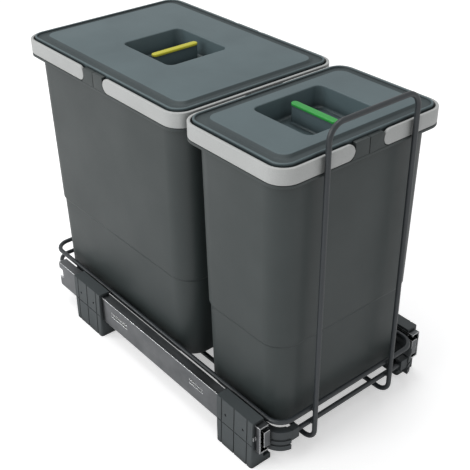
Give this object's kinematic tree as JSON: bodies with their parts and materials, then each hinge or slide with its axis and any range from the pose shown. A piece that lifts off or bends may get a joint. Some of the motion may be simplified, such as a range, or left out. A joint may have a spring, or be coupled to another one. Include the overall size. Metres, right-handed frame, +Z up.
{
  "type": "pull-out bin frame",
  "caption": "Pull-out frame for a narrow base cabinet: wire carriage on ball slides with plastic feet, holding a large and a small tapered bin, each with rim handles and a lid.",
  "frame": {"origin": "middle of the overall box in X and Y, on the cabinet floor under the feet", "axes": "X to the right across the cabinet, -Y the way the carriage pulls out, Z up"},
  "size_m": [0.2554, 0.4592, 0.3848],
  "materials": {
    "foot_plastic": "fine moulded texture",
    "clip_plastic": "fine moulded texture",
    "bin_plastic": "fine moulded texture, slight sheen",
    "lid_plastic": "fine moulded texture, slight sheen",
    "handle_plastic": "smooth moulded",
    "grip_yellow": "smooth moulded",
    "grip_green": "smooth moulded",
    "wire_coat": "powder coated",
    "slide_zinc": "zinc plated, rolled",
    "cage_steel": "zinc plated",
    "ball_steel": "polished",
    "rivet_steel": "bright zinc"
  },
  "bodies": {
    "cabinet_base": {"foot_front_left": "foot_plastic", "foot_front_right": "foot_plastic", "foot_rear_left": "foot_plastic", "foot_rear_right": "foot_plastic", "foot_rivets_left": "rivet_steel", "foot_rivets_right": "rivet_steel", "slide_outer_left": "slide_zinc", "slide_outer_right": "slide_zinc"},
    "carriage": {"slide_inner_left": "slide_zinc", "slide_inner_right": "slide_zinc", "ring_upper": "wire_coat", "ring_lower": "wire_coat", "front_hoop": "wire_coat", "bin_saddles": "wire_coat", "corner_block_left": "clip_plastic", "corner_block_right": "clip_plastic", "rear_clip_left": "clip_plastic", "rear_clip_right": "clip_plastic", "carriage_screws": "rivet_steel"},
    "slide_middle_left_body": {"slide_middle_left": "slide_zinc"},
    "outer_cage_left_body": {"outer_cage_left": "cage_steel", "outer_balls_left": "ball_steel"},
    "inner_cage_left_body": {"inner_cage_left": "cage_steel", "inner_balls_left": "ball_steel"},
    "slide_middle_right_body": {"slide_middle_right": "slide_zinc"},
    "outer_cage_right_body": {"outer_cage_right": "cage_steel", "outer_balls_right": "ball_steel"},
    "inner_cage_right_body": {"inner_cage_right": "cage_steel", "inner_balls_right": "ball_steel"},
    "bin_large_body": {"bin_large": "bin_plastic"},
    "bin_small_body": {"bin_small": "bin_plastic"},
    "lid_large_body": {"lid_large": "lid_plastic", "grip_insert_large": "grip_yellow"},
    "lid_small_body": {"lid_small": "lid_plastic", "grip_insert_small": "grip_green"},
    "handle_large_front_body": {"handle_large_front": "handle_plastic"},
    "handle_large_rear_body": {"handle_large_rear": "handle_plastic"},
    "handle_small_left_body": {"handle_small_left": "handle_plastic"},
    "handle_small_right_body": {"handle_small_right": "handle_plastic"}
  },
  "joints": [
    {"name": "drawer_slide", "type": "slide", "parent": "cabinet_base", "child": "carriage", "axis": [0, -1, 0], "range_m": [0, 0.38]},
    {"name": "slide_middle_left_travel", "type": "slide", "parent": "cabinet_base", "child": "slide_middle_left_body", "axis": [0, -1, 0], "range_m": [0, 0.19]},
    {"name": "outer_cage_left_travel", "type": "slide", "parent": "cabinet_base", "child": "outer_cage_left_body", "axis": [0, -1, 0], "range_m": [0, 0.095]},
    {"name": "inner_cage_left_travel", "type": "slide", "parent": "cabinet_base", "child": "inner_cage_left_body", "axis": [0, -1, 0], "range_m": [0, 0.285]},
    {"name": "slide_middle_right_travel", "type": "slide", "parent": "cabinet_base", "child": "slide_middle_right_body", "axis": [0, -1, 0], "range_m": [0, 0.19]},
    {"name": "outer_cage_right_travel", "type": "slide", "parent": "cabinet_base", "child": "outer_cage_right_body", "axis": [0, -1, 0], "range_m": [0, 0.095]},
    {"name": "inner_cage_right_travel", "type": "slide", "parent": "cabinet_base", "child": "inner_cage_right_body", "axis": [0, -1, 0], "range_m": [0, 0.285]},
    {"name": "bin_large_lift", "type": "slide", "parent": "carriage", "child": "bin_large_body", "axis": [0, 0, 1], "range_m": [0, 0.35]},
    {"name": "bin_small_lift", "type": "slide", "parent": "carriage", "child": "bin_small_body", "axis": [0, 0, 1], "range_m": [0, 0.35]},
    {"name": "lid_large_lift", "type": "slide", "parent": "bin_large_body", "child": "lid_large_body", "axis": [0, 0, 1], "range_m": [0, 0.08]},
    {"name": "lid_small_lift", "type": "slide", "parent": "bin_small_body", "child": "lid_small_body", "axis": [0, 0, 1], "range_m": [0, 0.042]},
    {"name": "handle_large_front_hinge", "type": "hinge", "parent": "bin_large_body", "child": "handle_large_front_body", "pos_m": [0, 0.0479, 0.3433], "axis": [-1, 0, 0], "range_deg": [0, 90]},
    {"name": "handle_large_rear_hinge", "type": "hinge", "parent": "bin_large_body", "child": "handle_large_rear_body", "pos_m": [0, 0.1024, 0.3433], "axis": [1, 0, 0], "range_deg": [0, 90]},
    {"name": "handle_small_left_hinge", "type": "hinge", "parent": "bin_small_body", "child": "handle_small_left_body", "pos_m": [-0.02725, -0.14985, 0.3433], "axis": [0, 1, 0], "range_deg": [0, 90]},
    {"name": "handle_small_right_hinge", "type": "hinge", "parent": "bin_small_body", "child": "handle_small_right_body", "pos_m": [0.02725, -0.14985, 0.3433], "axis": [0, -1, 0], "range_deg": [0, 90]}
  ],
  "couplings": [
    {"joint": "slide_middle_left_travel", "follows": "drawer_slide", "ratio": 0.5},
    {"joint": "outer_cage_left_travel", "follows": "drawer_slide", "ratio": 0.25},
    {"joint": "inner_cage_left_travel", "follows": "drawer_slide", "ratio": 0.75},
    {"joint": "slide_middle_right_travel", "follows": "drawer_slide", "ratio": 0.5},
    {"joint": "outer_cage_right_travel", "follows": "drawer_slide", "ratio": 0.25},
    {"joint": "inner_cage_right_travel", "follows": "drawer_slide", "ratio": 0.75}
  ]
}
